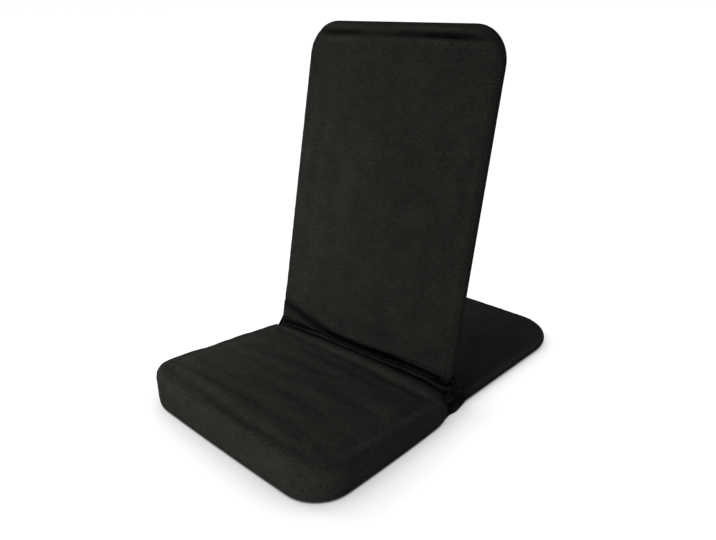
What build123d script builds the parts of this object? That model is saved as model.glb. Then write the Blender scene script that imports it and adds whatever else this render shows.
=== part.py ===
from build123d import *
from math import asin, cos, degrees, radians, sin
import os

# A folding floor chair: a foam seat cushion, a tall cloth-covered back and a flat rear support,
# which hinge on a pair of steel brackets behind the cushion.
# +X is to the right of someone facing the chair's front, +Y is backwards, +Z is up.
# The origin is on the floor, in the middle of the chair's footprint. Lengths are in millimetres.

# Cloth and foam
cloth = 1.2
foam_gap = 0.3

# Seat cushion, whose reach and rear gap are measured from the hinge line
seat_width = 520.0
seat_reach = 368.0
seat_gap = 6.5
seat_front_height = 76.0
seat_rear_height = 43.0
seat_crown = 4.0
seat_bow = 3.0
seat_front_corner = 76.0
seat_rear_corner = 20.0
seat_top_round = 14.0
seat_base_round = 6.0
heel_length = 50.0
heel_lift = 11.0
top_seam_drop = 9.0
base_seam_front = 9.0
base_seam_rear = 17.0

# Tubes of the two frames
tube_radius = 11.1
tube_wall = 1.5
tube_end_ease = 0.1
sleeve_gap = 0.15
leg_inset = 30.5
rail_radius = 8.0
rail_wall = 1.2
rail_offset = 28.0

# Back
recline = 11.5
back_pivot_y = 6.2
back_pivot_height = 57.0
back_reach = 676.0
back_corner = 70.0

# Rear support, which lies on the floor
rear_pivot_y = 42.0
rear_reach = 415.0
rear_corner = 103.0

# Cloth panels stretched over the frames
panel_edge_flat = 0.1
panel_overhang = 8.0
panel_dish = 2.5
dish_margin = 6.0
dish_slope = 16.0
corner_notch = 3.0
slot_gap = 1.3
back_slot = 15.0
rear_slot = 33.0
stop_notch_gap = 1.0

# Hinge brackets
bracket_steel = 2.5
bracket_gap = 1.7
bracket_front_gap = 0.5
bracket_edge = 10.5
stop_gap = 0.15
stop_start = -4.0
stop_end = 15.0
stop_width = 22.0
stop_corner = 1.5

# Pivots: the bolts are fixed in the tubes and turn in bushes seated in the brackets
bolt_radius = 4.0
bolt_clearance = 0.06
bolt_depth = 17.0
bolt_head_radius = 7.0
bolt_head_height = 3.2
socket_size = 0.6
socket_depth = 0.7
bush_radius = 5.5
bush_flange_radius = 8.0
bush_flange = 1.5
bush_lip = 0.2
plug_length = 40.0
plug_clearance = 0.1
washer_radius = 7.5
washer_thickness = 1.2
washer_play = 0.1

# Cross tube that ties the brackets and carries the seat
cross_y = 3.3
cross_height = 28.0
cross_radius = 6.35
cross_wall = 1.2
cross_plug_length = 18.0
cross_screw_radius = 3.0
cross_screw_length = 14.0
cross_head_radius = 6.0
cross_head_height = 2.6

# Loose cloth at the hinge
tunnel_end_gap = 4.0
tunnel_tail_bottom = 14.0
tunnel_tail_top = 29.0
tunnel_bridge = 2.2
gusset_gap = 0.5
gusset_inset = 22.0
gusset_bottom = 31.0
gusset_straight = 5.0
gusset_lap = 5.0
flap_gap = 0.3
flap_bottom = 3.0
flap_round = 5.0
flap_top_radius = 10.0
flap_front_drop = 4.0
flap_rear_inset = 5.0
flap_rear_lift = 8.5
flap_heel_inset = 17.0

# Values worked out from those above
half_sleeve = tube_radius + sleeve_gap + cloth
leg_x = seat_width / 2 - leg_inset
hinge_y = (seat_reach - rear_pivot_y - rear_reach) / 2
seat_rear_y = hinge_y - seat_gap
seat_front_y = hinge_y - seat_reach
seat_slope = (seat_front_height - seat_rear_height) / (seat_reach - seat_gap)
tilt = radians(recline)
back_pivot = (0, hinge_y + back_pivot_y, back_pivot_height)
rear_pivot = (0, hinge_y + rear_pivot_y, half_sleeve)
back_plane = Plane(origin=back_pivot, x_dir=(1, 0, 0), z_dir=(0, -cos(tilt), sin(tilt)))
rear_plane = Plane(origin=rear_pivot, x_dir=(1, 0, 0), z_dir=(0, 0, 1))
back_side = Plane(origin=back_pivot, x_dir=back_plane.y_dir, z_dir=(1, 0, 0))
rear_side = Plane(origin=rear_pivot, x_dir=rear_plane.y_dir, z_dir=(1, 0, 0))
leg_inner_x = leg_x - tube_radius
bracket_outer_x = leg_inner_x - bracket_gap
bracket_inner_x = bracket_outer_x - bracket_steel
washer_x = bracket_inner_x - washer_play
head_x = washer_x - washer_thickness
bolt_end_x = leg_inner_x + bolt_depth
stop_inner = tube_radius + stop_gap
stop_outer = stop_inner + bracket_steel
cross_point = (hinge_y + cross_y, cross_height)
cross_edge = cross_y + seat_gap - gusset_gap - cloth - bracket_front_gap
pillow_width = 2 * (leg_x + half_sleeve)


def keep(block, name):
    """Name a finished piece and write its file."""
    block.part.label = name
    export_step(block.part, f"parts/{name}.step")


def cushion(inset):
    """The seat cushion's shape, drawn in by inset all over: a crowned top that falls to the rear,
    bowed sides, round front corners and an underside that lifts at the heel."""
    side_x = seat_width / 2 - inset
    corner_x = side_x - seat_bow
    rear_y = seat_rear_y - inset
    front_y = seat_front_y + inset
    middle_y = (rear_y + front_y) / 2
    centre_height = (seat_front_height + seat_rear_height) / 2 + seat_crown
    crown_radius = (seat_width / 2) ** 2 / (2 * seat_crown)
    normal = Vector(0, seat_slope, 1).normalized()
    top_centre = Vector(0, (seat_rear_y + seat_front_y) / 2, centre_height)
    crown_centre = top_centre - normal * crown_radius
    heel_y = seat_rear_y - heel_length
    heel_radius = (heel_length**2 + heel_lift**2) / (2 * heel_lift) - inset
    heel_sweep = degrees(asin((heel_length + 5) / heel_radius))
    with BuildPart() as form:
        with BuildSketch(Plane.XY.offset(inset)):
            with BuildLine():
                Line((-corner_x, rear_y), (corner_x, rear_y))
                ThreePointArc((corner_x, rear_y), (side_x, middle_y), (corner_x, front_y + seat_bow))
                ThreePointArc((corner_x, front_y + seat_bow), (0, front_y), (-corner_x, front_y + seat_bow))
                ThreePointArc((-corner_x, front_y + seat_bow), (-side_x, middle_y), (-corner_x, rear_y))
            outline = make_face()
            fillet(outline.vertices().sort_by(Axis.Y)[:2], seat_front_corner - inset)
        extrude(amount=2 * seat_front_height)
        fillet(form.edges().filter_by(Axis.Z).group_by(Axis.Y)[-1], seat_rear_corner - inset)
        with Locations(crown_centre):
            Sphere(crown_radius - inset, mode=Mode.INTERSECT)
        with BuildSketch(Plane.YZ):
            with BuildLine():
                heel = CenterArc((heel_y, heel_radius + inset), heel_radius, 270, heel_sweep)
                Polyline(heel @ 1, ((heel @ 1).X, -5), (heel_y, -5), heel @ 0)
            make_face()
        extrude(amount=seat_width, both=True, mode=Mode.SUBTRACT)
        fillet(form.faces().sort_by(Axis.Z)[-1].edges(), seat_top_round - inset)
        base = form.faces().filter_by(GeomType.PLANE).sort_by(Axis.Z)[0]
        base_edges = base.edges().filter_by(lambda edge: abs(edge.center().Y - heel_y) > 0.01)
        fillet(base_edges, seat_base_round - inset)
    return form


def seat_cloth(name, corners):
    """The part of the cushion's cover whose side view lies inside the given corners."""
    with BuildPart() as piece:
        add(cushion(0))
        add(cushion(cloth), mode=Mode.SUBTRACT)
        with BuildSketch(Plane.YZ):
            Polygon(*corners, align=None)
        extrude(amount=seat_width, both=True, mode=Mode.INTERSECT)
    keep(piece, name)


def pillow(plane, reach, corner, inset):
    """The flat case round one frame, drawn in by inset: round-edged, open at the hinge end and
    dished on both faces between the tubes."""
    half = half_sleeve - inset
    start = -panel_overhang
    end = reach - inset
    dish_start = rail_offset + rail_radius + dish_margin
    dish_length = reach - 2 * half_sleeve - dish_margin - dish_start
    dish_width = 2 * (leg_x - half_sleeve - dish_margin)
    dish_corner = corner - 2 * half_sleeve - dish_margin
    with BuildPart() as form:
        with BuildSketch(plane):
            with Locations((0, (start + end) / 2)):
                Rectangle(pillow_width - 2 * inset, end - start)
            fillet(vertices().group_by(Axis.Y)[-1], corner - inset)
        extrude(amount=half, both=True)
        lines = form.edges()
        rims = [line for line in lines if abs(plane.to_local_coords(line.center()).Z) > half - 0.1]
        rims = [line for line in rims if plane.to_local_coords(line.center()).Y > start + 0.1]
        fillet(rims, half - panel_edge_flat)
        for side in (1, -1):
            with BuildSketch(plane.offset(side * half)):
                with Locations((0, dish_start + dish_length / 2)):
                    RectangleRounded(dish_width, dish_length, dish_corner)
            with BuildSketch(plane.offset(side * (half - panel_dish))):
                with Locations((0, dish_start + dish_length / 2)):
                    flat_size = (dish_width - 2 * dish_slope, dish_length - 2 * dish_slope)
                    RectangleRounded(*flat_size, dish_corner - dish_slope)
            loft(mode=Mode.SUBTRACT)
    return form


def panel(name, plane, reach, corner, face, notch_end, slot_end):
    """One face of a frame's cloth case, cut out over the tube ends and slotted for the brackets."""
    slot_x = bracket_inner_x - slot_gap
    slot_width = leg_inner_x + slot_gap - slot_x
    with BuildPart() as piece:
        add(pillow(plane, reach, corner, 0))
        add(pillow(plane, reach, corner, cloth), mode=Mode.SUBTRACT)
        split(bisect_by=plane, keep=face)
        for across in (1, -1):
            with BuildSketch(plane):
                with Locations((across * (slot_x + half_sleeve * 2), notch_end - half_sleeve * 2)):
                    Rectangle(half_sleeve * 4, half_sleeve * 4)
                with Locations((across * (slot_x + slot_width / 2), slot_end - half_sleeve * 2)):
                    Rectangle(slot_width, half_sleeve * 4)
            extrude(amount=2 * half_sleeve, both=True, mode=Mode.SUBTRACT)
    keep(piece, name)


def end_cutter(side):
    """What is cut off the tubes to round their ends about the pivot."""
    with BuildPart() as cutter:
        with BuildSketch(side):
            with Locations((-tube_radius, 0)):
                Rectangle(2 * tube_radius, 4 * tube_radius)
            Circle(tube_radius - tube_end_ease, mode=Mode.SUBTRACT)
        extrude(amount=leg_x + 2 * tube_radius, both=True)
    return cutter


def frame(name, plane, side, reach, corner):
    """A bent tube with two legs, its ends rounded and bored on the inside for the pivot bolts."""
    end = reach - half_sleeve
    with BuildPart() as piece:
        with BuildLine(plane) as path:
            corners = ((-leg_x, -tube_radius), (-leg_x, end), (leg_x, end), (leg_x, -tube_radius))
            FilletPolyline(*corners, radius=corner - half_sleeve)
        with BuildSketch(Plane(origin=path.line @ 0, x_dir=(1, 0, 0), z_dir=path.line % 0)):
            Circle(tube_radius)
            Circle(tube_radius - tube_wall, mode=Mode.SUBTRACT)
        sweep()
        add(end_cutter(side), mode=Mode.SUBTRACT)
        with BuildSketch(side):
            Circle(bolt_radius)
        extrude(amount=leg_x, both=True, mode=Mode.SUBTRACT)
    keep(piece, name)


def rail(name, plane, side):
    """A cross rail welded between the legs, its ends shaped to them."""
    with BuildPart() as piece:
        with BuildSketch(side):
            with Locations((rail_offset, 0)):
                Circle(rail_radius)
                Circle(rail_radius - rail_wall, mode=Mode.SUBTRACT)
        extrude(amount=leg_x, both=True)
        with BuildSketch(Plane(origin=plane.origin, x_dir=(1, 0, 0), z_dir=plane.y_dir)):
            with Locations((leg_x, 0), (-leg_x, 0)):
                Circle(tube_radius)
        extrude(amount=rail_offset + 2 * rail_radius, mode=Mode.SUBTRACT)
    keep(piece, name)


def plugs(name, plane, side):
    """The plugs in both ends of a frame, which the bolts are screwed into."""
    section = Plane(origin=plane.origin, x_dir=(1, 0, 0), z_dir=plane.y_dir)
    with BuildPart() as piece:
        with BuildSketch(section.offset(-tube_radius)):
            with Locations((leg_x, 0), (-leg_x, 0)):
                Circle(tube_radius - tube_wall - plug_clearance)
        extrude(amount=plug_length)
        add(end_cutter(side), mode=Mode.SUBTRACT)
        with BuildSketch(side):
            Circle(bolt_radius)
        extrude(amount=bolt_end_x, both=True, mode=Mode.SUBTRACT)
    keep(piece, name)


def rings(name, side, inner_x, outer_x, radius, bore):
    """A pair of plain rings on a pivot's line."""
    with BuildPart() as piece:
        with BuildSketch(side.offset(inner_x)):
            Circle(radius)
            Circle(bore, mode=Mode.SUBTRACT)
        extrude(amount=outer_x - inner_x)
        mirror(about=Plane.YZ)
    keep(piece, name)


def bushes(name, side):
    """The pair of flanged bushes seated in the brackets for a pivot's bolts."""
    with BuildPart() as piece:
        with BuildSketch(side.offset(bracket_inner_x)):
            Circle(bush_radius)
        extrude(amount=bracket_steel)
        with BuildSketch(side.offset(bracket_outer_x)):
            Circle(bush_flange_radius)
        extrude(amount=bush_flange)
        fillet(piece.faces().sort_by(Axis.X)[-1].edges(), bush_lip)
        with BuildSketch(side.offset(bracket_inner_x)):
            Circle(bolt_radius + bolt_clearance)
        extrude(amount=bracket_steel + bush_flange, mode=Mode.SUBTRACT)
        mirror(about=Plane.YZ)
    keep(piece, name)


def bolts(name, side, head_face, end_x, radius, head_radius, head_height):
    """A pair of round-headed bolts with hexagon sockets. The heads stand on head_face, away from
    the shanks' ends at end_x."""
    outward = 1 if head_face > end_x else -1
    with BuildPart() as piece:
        with BuildSketch(side.offset(end_x)):
            Circle(radius)
        extrude(amount=head_face - end_x)
        with BuildSketch(side.offset(head_face)):
            Circle(head_radius)
        extrude(amount=outward * head_height)
        head_end = piece.faces().sort_by(Axis.X)[-1 if outward > 0 else 0]
        fillet(head_end.edges(), head_height / 2)
        with BuildSketch(side.offset(head_face + outward * head_height)):
            RegularPolygon(radius * socket_size, 6, major_radius=False)
        extrude(amount=-outward * head_height * socket_depth, mode=Mode.SUBTRACT)
        mirror(about=Plane.YZ)
    keep(piece, name)


def hull(circles):
    """The side view that wraps the given circles, each a centre and a radius."""
    with BuildSketch(Plane.YZ) as outline:
        for centre, radius in circles:
            with Locations(centre):
                Circle(radius)
        make_hull()
    return outline


os.makedirs("parts", exist_ok=True)

# Seat cushion: foam inside a cover of three pieces
with BuildPart() as seat_foam:
    add(cushion(cloth + foam_gap))
keep(seat_foam, "seat_foam")

high = 2 * seat_front_height
front_end = (seat_front_y - 10, seat_front_height - top_seam_drop)
rear_end = (seat_rear_y + 10, seat_rear_height - top_seam_drop)
front_base = (seat_front_y - 10, base_seam_front)
rear_base = (seat_rear_y + 10, base_seam_rear)
seat_cloth("seat_top_cloth", [front_end, rear_end, (rear_end[0], high), (front_end[0], high)])
seat_cloth("seat_side_band", [front_base, rear_base, rear_end, front_end])
seat_cloth("seat_bottom_cloth", [(front_end[0], -10), (rear_end[0], -10), rear_base, front_base])

# The tunnel sewn to the cushion's rear, which holds the cross tube
with BuildPart() as seat_tunnel:
    with BuildSketch(Plane.YZ):
        with Locations(cross_point):
            Circle(cross_radius + sleeve_gap + cloth)
        tail_y = seat_rear_y + foam_gap + cloth / 2
        with Locations((tail_y, (tunnel_tail_bottom + tunnel_tail_top) / 2)):
            Rectangle(cloth, tunnel_tail_top - tunnel_tail_bottom)
        with Locations((tail_y + tunnel_bridge / 2, tunnel_tail_top - cloth)):
            Rectangle(tunnel_bridge, 2 * cloth)
        with Locations(cross_point):
            Circle(cross_radius + sleeve_gap, mode=Mode.SUBTRACT)
    extrude(amount=bracket_inner_x - tunnel_end_gap, both=True)
keep(seat_tunnel, "seat_tunnel")

# The cloth strip from the cushion's rear edge to the lower edge of the back
with BuildPart() as hinge_gusset:
    low_y = seat_rear_y + gusset_gap + cloth / 2
    face_gap = half_sleeve + gusset_gap + cloth
    lower = back_plane.from_local_coords((0, -panel_overhang, face_gap))
    upper = back_plane.from_local_coords((0, gusset_lap, face_gap))
    turn_height = gusset_bottom + gusset_straight
    with BuildSketch(Plane.YZ):
        with BuildLine():
            Spline((low_y, gusset_bottom), (low_y, turn_height), (lower.Y, lower.Z), (upper.Y, upper.Z))
        trace(line_width=cloth)
    extrude(amount=seat_width / 2 - gusset_inset, both=True)
keep(hinge_gusset, "hinge_gusset")

# Hinge brackets inside the legs, with two tabs folded outwards that stop the back and the rear support
back_tab = back_side.from_local_coords((stop_end - stop_corner, stop_corner - stop_outer, 0))
rear_tab = rear_side.from_local_coords((stop_end - stop_corner, stop_outer - stop_corner, 0))
bracket_circles = [
    ((back_pivot[1], back_pivot[2]), bracket_edge),
    ((rear_pivot[1], rear_pivot[2]), bracket_edge),
    (cross_point, cross_edge),
    ((back_tab.Y, back_tab.Z), stop_corner),
    ((rear_tab.Y, rear_tab.Z), stop_corner),
]
with BuildPart() as hinge_bracket_right:
    add(hull(bracket_circles).sketch.moved(Location((bracket_inner_x, 0, 0))))
    extrude(amount=bracket_steel, dir=(1, 0, 0))
    for side, edge in ((back_side, -1), (rear_side, 1)):
        with BuildSketch(side.offset(bracket_inner_x)):
            with Locations(((stop_start + stop_end) / 2, edge * (stop_inner + stop_outer) / 2)):
                Rectangle(stop_end - stop_start, bracket_steel)
        extrude(amount=stop_width)
        with BuildSketch(side):
            Circle(bush_radius)
        extrude(amount=bracket_outer_x, mode=Mode.SUBTRACT)
    with BuildSketch(Plane.YZ):
        with Locations(cross_point):
            Circle(cross_screw_radius)
    extrude(amount=bracket_outer_x, mode=Mode.SUBTRACT)
keep(hinge_bracket_right, "hinge_bracket_right")
with BuildPart() as hinge_bracket_left:
    add(mirror(hinge_bracket_right.part, about=Plane.YZ, mode=Mode.PRIVATE))
keep(hinge_bracket_left, "hinge_bracket_left")

# Cloth ears beside the hinges, from the cushion's rear corners
flap_x = leg_x + half_sleeve + flap_gap
corner_run = flap_x - (seat_width / 2 - seat_bow - seat_rear_corner)
corner_drop = seat_rear_corner - (seat_rear_corner**2 - corner_run**2) ** 0.5
flap_front_y = seat_rear_y - corner_drop + flap_gap + flap_round
flap_circles = [
    ((flap_front_y, flap_bottom + flap_round), flap_round),
    ((flap_front_y, seat_rear_height - flap_front_drop), flap_round),
    ((back_pivot[1], back_pivot[2]), flap_top_radius),
    ((rear_pivot[1] - flap_rear_inset, rear_pivot[2] + flap_rear_lift), flap_round),
    ((rear_pivot[1] - flap_heel_inset, flap_bottom + flap_round), flap_round),
]
with BuildPart() as hinge_flap_right:
    add(hull(flap_circles).sketch.moved(Location((flap_x, 0, 0))))
    extrude(amount=cloth, dir=(1, 0, 0))
keep(hinge_flap_right, "hinge_flap_right")
with BuildPart() as hinge_flap_left:
    add(mirror(hinge_flap_right.part, about=Plane.YZ, mode=Mode.PRIVATE))
keep(hinge_flap_left, "hinge_flap_left")

# Cross tube between the brackets, with a plug and a screw in each end
with BuildPart() as cross_tube:
    with BuildSketch(Plane.YZ):
        with Locations(cross_point):
            Circle(cross_radius)
            Circle(cross_radius - cross_wall, mode=Mode.SUBTRACT)
    extrude(amount=bracket_inner_x, both=True)
keep(cross_tube, "cross_tube")
cross_side = Plane(origin=(0, *cross_point), x_dir=(0, 1, 0), z_dir=(1, 0, 0))
plug_x = bracket_inner_x - cross_plug_length
cross_plug_radius = cross_radius - cross_wall - plug_clearance
rings("cross_tube_plugs", cross_side, plug_x, bracket_inner_x, cross_plug_radius, cross_screw_radius)
screw_x = bracket_outer_x - cross_screw_length
screw_sizes = (cross_screw_radius, cross_head_radius, cross_head_height)
bolts("cross_tube_screws", cross_side, bracket_outer_x, screw_x, *screw_sizes)

# Pivots
bolt_sizes = (bolt_radius, bolt_head_radius, bolt_head_height)
for leaf, side in (("back", back_side), ("rear", rear_side)):
    bolts(f"{leaf}_pivot_bolts", side, head_x, bolt_end_x, *bolt_sizes)
    rings(f"{leaf}_pivot_washers", side, head_x, washer_x, washer_radius, bolt_radius)
    bushes(f"{leaf}_pivot_bushes", side)

# Back
stop_notch = stop_end + stop_notch_gap
frame("back_frame", back_plane, back_side, back_reach, back_corner)
rail("back_rail", back_plane, back_side)
plugs("back_plugs", back_plane, back_side)
panel("back_front_cloth", back_plane, back_reach, back_corner, Keep.TOP, corner_notch, back_slot)
panel("back_rear_cloth", back_plane, back_reach, back_corner, Keep.BOTTOM, stop_notch, stop_notch)

# Rear support
frame("rear_frame", rear_plane, rear_side, rear_reach, rear_corner)
rail("rear_rail", rear_plane, rear_side)
plugs("rear_plugs", rear_plane, rear_side)
panel("rear_top_cloth", rear_plane, rear_reach, rear_corner, Keep.TOP, stop_notch, stop_notch)
panel("rear_bottom_cloth", rear_plane, rear_reach, rear_corner, Keep.BOTTOM, corner_notch, rear_slot)
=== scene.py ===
from math import cos, hypot, pi, radians, sin

import bpy
import numpy as np
from mathutils import Matrix, Vector


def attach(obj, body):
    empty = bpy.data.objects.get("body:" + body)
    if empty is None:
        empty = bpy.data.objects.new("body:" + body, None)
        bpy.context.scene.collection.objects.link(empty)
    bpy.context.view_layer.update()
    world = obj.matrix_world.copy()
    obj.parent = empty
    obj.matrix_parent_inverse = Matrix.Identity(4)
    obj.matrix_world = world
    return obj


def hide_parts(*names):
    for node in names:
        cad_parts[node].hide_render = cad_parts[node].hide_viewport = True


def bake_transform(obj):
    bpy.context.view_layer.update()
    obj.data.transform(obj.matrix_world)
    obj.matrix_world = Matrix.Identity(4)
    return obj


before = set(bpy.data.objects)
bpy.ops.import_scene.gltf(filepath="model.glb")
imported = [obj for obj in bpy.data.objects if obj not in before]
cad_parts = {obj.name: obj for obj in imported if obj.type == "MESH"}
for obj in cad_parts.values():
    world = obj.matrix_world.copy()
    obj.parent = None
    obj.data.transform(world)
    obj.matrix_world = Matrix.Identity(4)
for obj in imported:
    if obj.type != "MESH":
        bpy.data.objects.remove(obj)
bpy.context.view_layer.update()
print("frame loaded")

# Where the chair's hinges and frames are, in metres and degrees
chair = {
    "backPivot": (0.0, -0.0383, 0.057),
    "rearPivot": (0.0, -0.0025, 0.01245),
    "recline": 11.5,
    "legX": 0.2295,
    "halfWidth": 0.24195,
    "sleeve": 0.01245,
    "tube": 0.0111,
    "bracketX": 0.2142,
}


# Shapes

def smooth(value, low, high):
    # 0 below low and 1 above high, with an S-curve between them
    t = np.clip((value - low) / (high - low), 0, 1)
    return t * t * (3 - 2 * t)


def bell(value, middle, width, power=2):
    # 1 in the middle and 0 far from it. A higher power makes it flatter on top and steeper.
    return np.exp(-(((value - middle) / width) ** power))


def ripple(x, y, seed, size, angle=0.0, stretch=1.0, waves=18):
    # Soft uneven heights of about -1 to 1: the sum of plane waves of mixed direction and length,
    # drawn out by stretch along the angle.
    rng = np.random.default_rng(seed)
    turn = rng.uniform(0, 2 * pi, waves)
    length = size * rng.uniform(0.7, 1.9, waves)
    start = rng.uniform(0, 2 * pi, waves)
    u = (x * cos(angle) + y * sin(angle)) / stretch
    v = y * cos(angle) - x * sin(angle)
    phase = np.multiply.outer(u, np.cos(turn) / length) + np.multiply.outer(v, np.sin(turn) / length)
    return np.cos(2 * pi * phase + start).sum(-1) / waves**0.5 * 0.8


def ripples(x, y, rows, seed=0):
    # Several of them added up. Each row is the height, a number added to the seed, the size, and where
    # they differ from none the angle and stretch.
    return sum(height * ripple(x, y, seed + more, *shape) for height, more, *shape in rows)


def folds(x, y, lines):
    # Each line is (x0, y0, x1, y1, bow, width, depth). A bowed line from end to end carries a bell-shaped
    # trough with a low shoulder on both sides, which fades out towards the ends.
    shoulderPlace, shoulderWidth, shoulderHeight = 2.1, 1.3, 0.35
    height = np.zeros(np.shape(x))
    for x0, y0, x1, y1, bow, width, depth in lines:
        length = hypot(x1 - x0, y1 - y0)
        along = ((x - x0) * (x1 - x0) + (y - y0) * (y1 - y0)) / length**2
        middle = np.clip(4 * along * (1 - along), 0, 1)
        across = ((y - y0) * (x1 - x0) - (x - x0) * (y1 - y0)) / length - bow * middle
        shoulder = bell(np.abs(across), shoulderPlace * width, shoulderWidth * width)
        height -= depth * middle**0.6 * (bell(across, 0, width) - shoulderHeight * shoulder)
    return height


def through(points, t):
    # A smooth cubic through rows of points, at places t counted in points
    k = np.minimum(t.astype(int), points.shape[1] - 2)
    f = t - k
    slope = np.gradient(points, axis=1)
    rise = 3 * f**2 - 2 * f**3
    steep = (f**3 - 2 * f**2 + f) * slope[:, k] + (f**3 - f**2) * slope[:, k + 1]
    return (1 - rise) * points[:, k] + rise * points[:, k + 1] + steep


def travelled(line):
    # How far each of a line's points is from its start, along the line
    return np.concatenate([[0], np.cumsum(np.linalg.norm(np.diff(line, axis=0), axis=1))])


def roundedOutline(halfWidth, low, high, lowCorner, highCorner, across, along):
    # A rectangle with rounded corners as one closed line, from the middle of the low left corner's arc
    # round past the right. across and along give the steps on each side as shares of its length.
    steps = 24  # in half an arc
    turn = np.linspace(0, pi / 2, 2 * steps + 1)
    half = np.linspace(0, pi / 4, steps + 1)
    arcs = [
        (lowCorner - halfWidth, low + lowCorner, lowCorner, 5 * pi / 4 + half),
        (halfWidth - lowCorner, low + lowCorner, lowCorner, 3 * pi / 2 + turn),
        (halfWidth - highCorner, high - highCorner, highCorner, 2 * pi + turn),
        (highCorner - halfWidth, high - highCorner, highCorner, 5 * pi / 2 + turn),
        (lowCorner - halfWidth, low + lowCorner, lowCorner, 3 * pi + half),
    ]
    x = np.concatenate([cx + r * np.cos(a) for cx, cy, r, a in arcs])
    y = np.concatenate([cy + r * np.sin(a) for cx, cy, r, a in arcs])
    facing = np.concatenate([a for cx, cy, r, a in arcs])
    run = np.concatenate([[0], np.cumsum(np.hypot(np.diff(x), np.diff(y)))])
    marks = run[[0, *(k * (2 * steps + 1) for k in (1, 2, 3)), -1]]
    shares = [across, along, 1 - across[::-1], 1 - along[::-1]]
    place = np.concatenate([a + (b - a) * share[:-1] for a, b, share in zip(marks[:-1], marks[1:], shares)])
    points = np.stack([np.interp(place, run, x), np.interp(place, run, y)], 1)
    face = np.interp(place, run, facing)
    return points, np.stack([np.cos(face), np.sin(face)], 1), place


def borderOrder(nAcross, nAlong):
    # The grid's border points in the outline's order
    i, j = np.arange(nAcross), np.arange(nAlong)
    low = np.stack([i, 0 * i], 1)
    right = np.stack([0 * j + nAcross, j], 1)
    high = np.stack([nAcross - i, 0 * i + nAlong], 1)
    left = np.stack([0 * j, nAlong - j], 1)
    return np.concatenate([low, right, high, left]).T


def patch(outline, across, along):
    # Fills an outline with a grid: the two ways of stretching lines between opposite sides are added,
    # and the stretch between the four corners is taken away.
    grid = np.zeros((len(across), len(along), 2))
    border = tuple(borderOrder(len(across) - 1, len(along) - 1))
    grid[border] = outline
    u, v = across[:, None, None], along[None, :, None]
    lines = (1 - v) * grid[:, :1] + v * grid[:, -1:] + (1 - u) * grid[:1] + u * grid[-1:]
    lowEnds = (1 - u) * grid[0, 0] + u * grid[-1, 0]
    highEnds = (1 - u) * grid[0, -1] + u * grid[-1, -1]
    filled = lines - (1 - v) * lowEnds - v * highEnds
    filled[border] = outline
    return filled


def numbered(shape, first=0):
    # A grid of vertex numbers
    return first + np.arange(shape[0] * shape[1]).reshape(shape[:2])


def closed(grid):
    # A grid whose first column follows its last once more
    return np.concatenate([grid, grid[:, :1]], 1)


def gridFaces(grid):
    # What a grid holds at the corners of each of its faces: vertex numbers, or places on the cloth
    corners = np.stack([grid[:-1, :-1], grid[1:, :-1], grid[1:, 1:], grid[:-1, 1:]], 2)
    return corners.reshape(-1, 4, *grid.shape[2:])


def setShadeAndWear(mesh, rub):
    # Painted light and shade at each vertex, with some wear: 0 where the cloth is tucked into a crease and
    # painted dark as shade, 1 where it is rubbed and painted pale as a highlight
    layer = mesh.attributes.new("rub", "FLOAT", "POINT")
    layer.data.foreach_set("value", np.clip(rub, 0, 1).astype(np.float32).ravel())


def makePiece(name, points, faces, uv=None, material=None, rub=None):
    # uv holds one place on the cloth, in metres, for every corner of every face
    mesh = bpy.data.meshes.new(name)
    mesh.from_pydata(points.tolist(), [], faces if isinstance(faces, list) else faces.tolist())
    if uv is not None:
        layer = mesh.uv_layers.new(name="cloth")
        layer.data.foreach_set("uv", np.asarray(uv, np.float32).ravel())
    if rub is not None:
        setShadeAndWear(mesh, rub)
    mesh.shade_smooth()
    piece = bpy.data.objects.new(name, mesh)
    bpy.context.scene.collection.objects.link(piece)
    if material:
        mesh.materials.append(material)
    return piece


def readPoints(mesh, kind="co"):
    values = np.zeros(len(mesh.vertices) * 3, np.float32)
    mesh.vertices.foreach_get(kind, values)
    return values.reshape(-1, 3).astype(float)


def writePoints(mesh, points):
    mesh.vertices.foreach_set("co", points.astype(np.float32).ravel())
    mesh.update()


def applyModifiers(piece):
    graph = bpy.context.evaluated_depsgraph_get()
    shown = piece.evaluated_get(graph)
    finished = bpy.data.meshes.new_from_object(shown, preserve_all_data_layers=True, depsgraph=graph)
    old = piece.data
    piece.modifiers.clear()
    piece.data = finished
    finished.name = piece.name
    bpy.data.meshes.remove(old)


def giveThickness(piece, thickness):
    wall = piece.modifiers.new("wall", "SOLIDIFY")
    wall.thickness = thickness
    wall.offset = -1
    wall.use_even_offset = True
    applyModifiers(piece)
    piece.data.shade_smooth()


def laidFlat(grid):
    # Each place on a grid's cloth, measured along the grid's own lines and averaged over them
    steps = [np.linalg.norm(np.diff(grid, axis=k), axis=2) for k in (0, 1)]
    run = np.concatenate([[0], np.cumsum(steps[0], 0).mean(1)])
    down = np.concatenate([[0], np.cumsum(steps[1], 1).mean(0)])
    return np.stack(np.meshgrid(run, down, indexing="ij"), -1)


def makeCloth(name, grid, thickness, rub, turned=False):
    # A grid of points as a sheet of cloth with a wall. turned swaps its inner and outer sides.
    faces, uv = gridFaces(numbered(grid.shape)), gridFaces(laidFlat(grid))
    if turned:
        faces, uv = faces[:, ::-1], uv[:, ::-1]
    piece = makePiece(name, grid.reshape(-1, 3), faces, uv, canvas, rub)
    giveThickness(piece, thickness)
    return piece


def dress(piece, body, *nodes):
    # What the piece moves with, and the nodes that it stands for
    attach(piece, body)
    if nodes:
        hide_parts(*nodes)


# Materials

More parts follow.
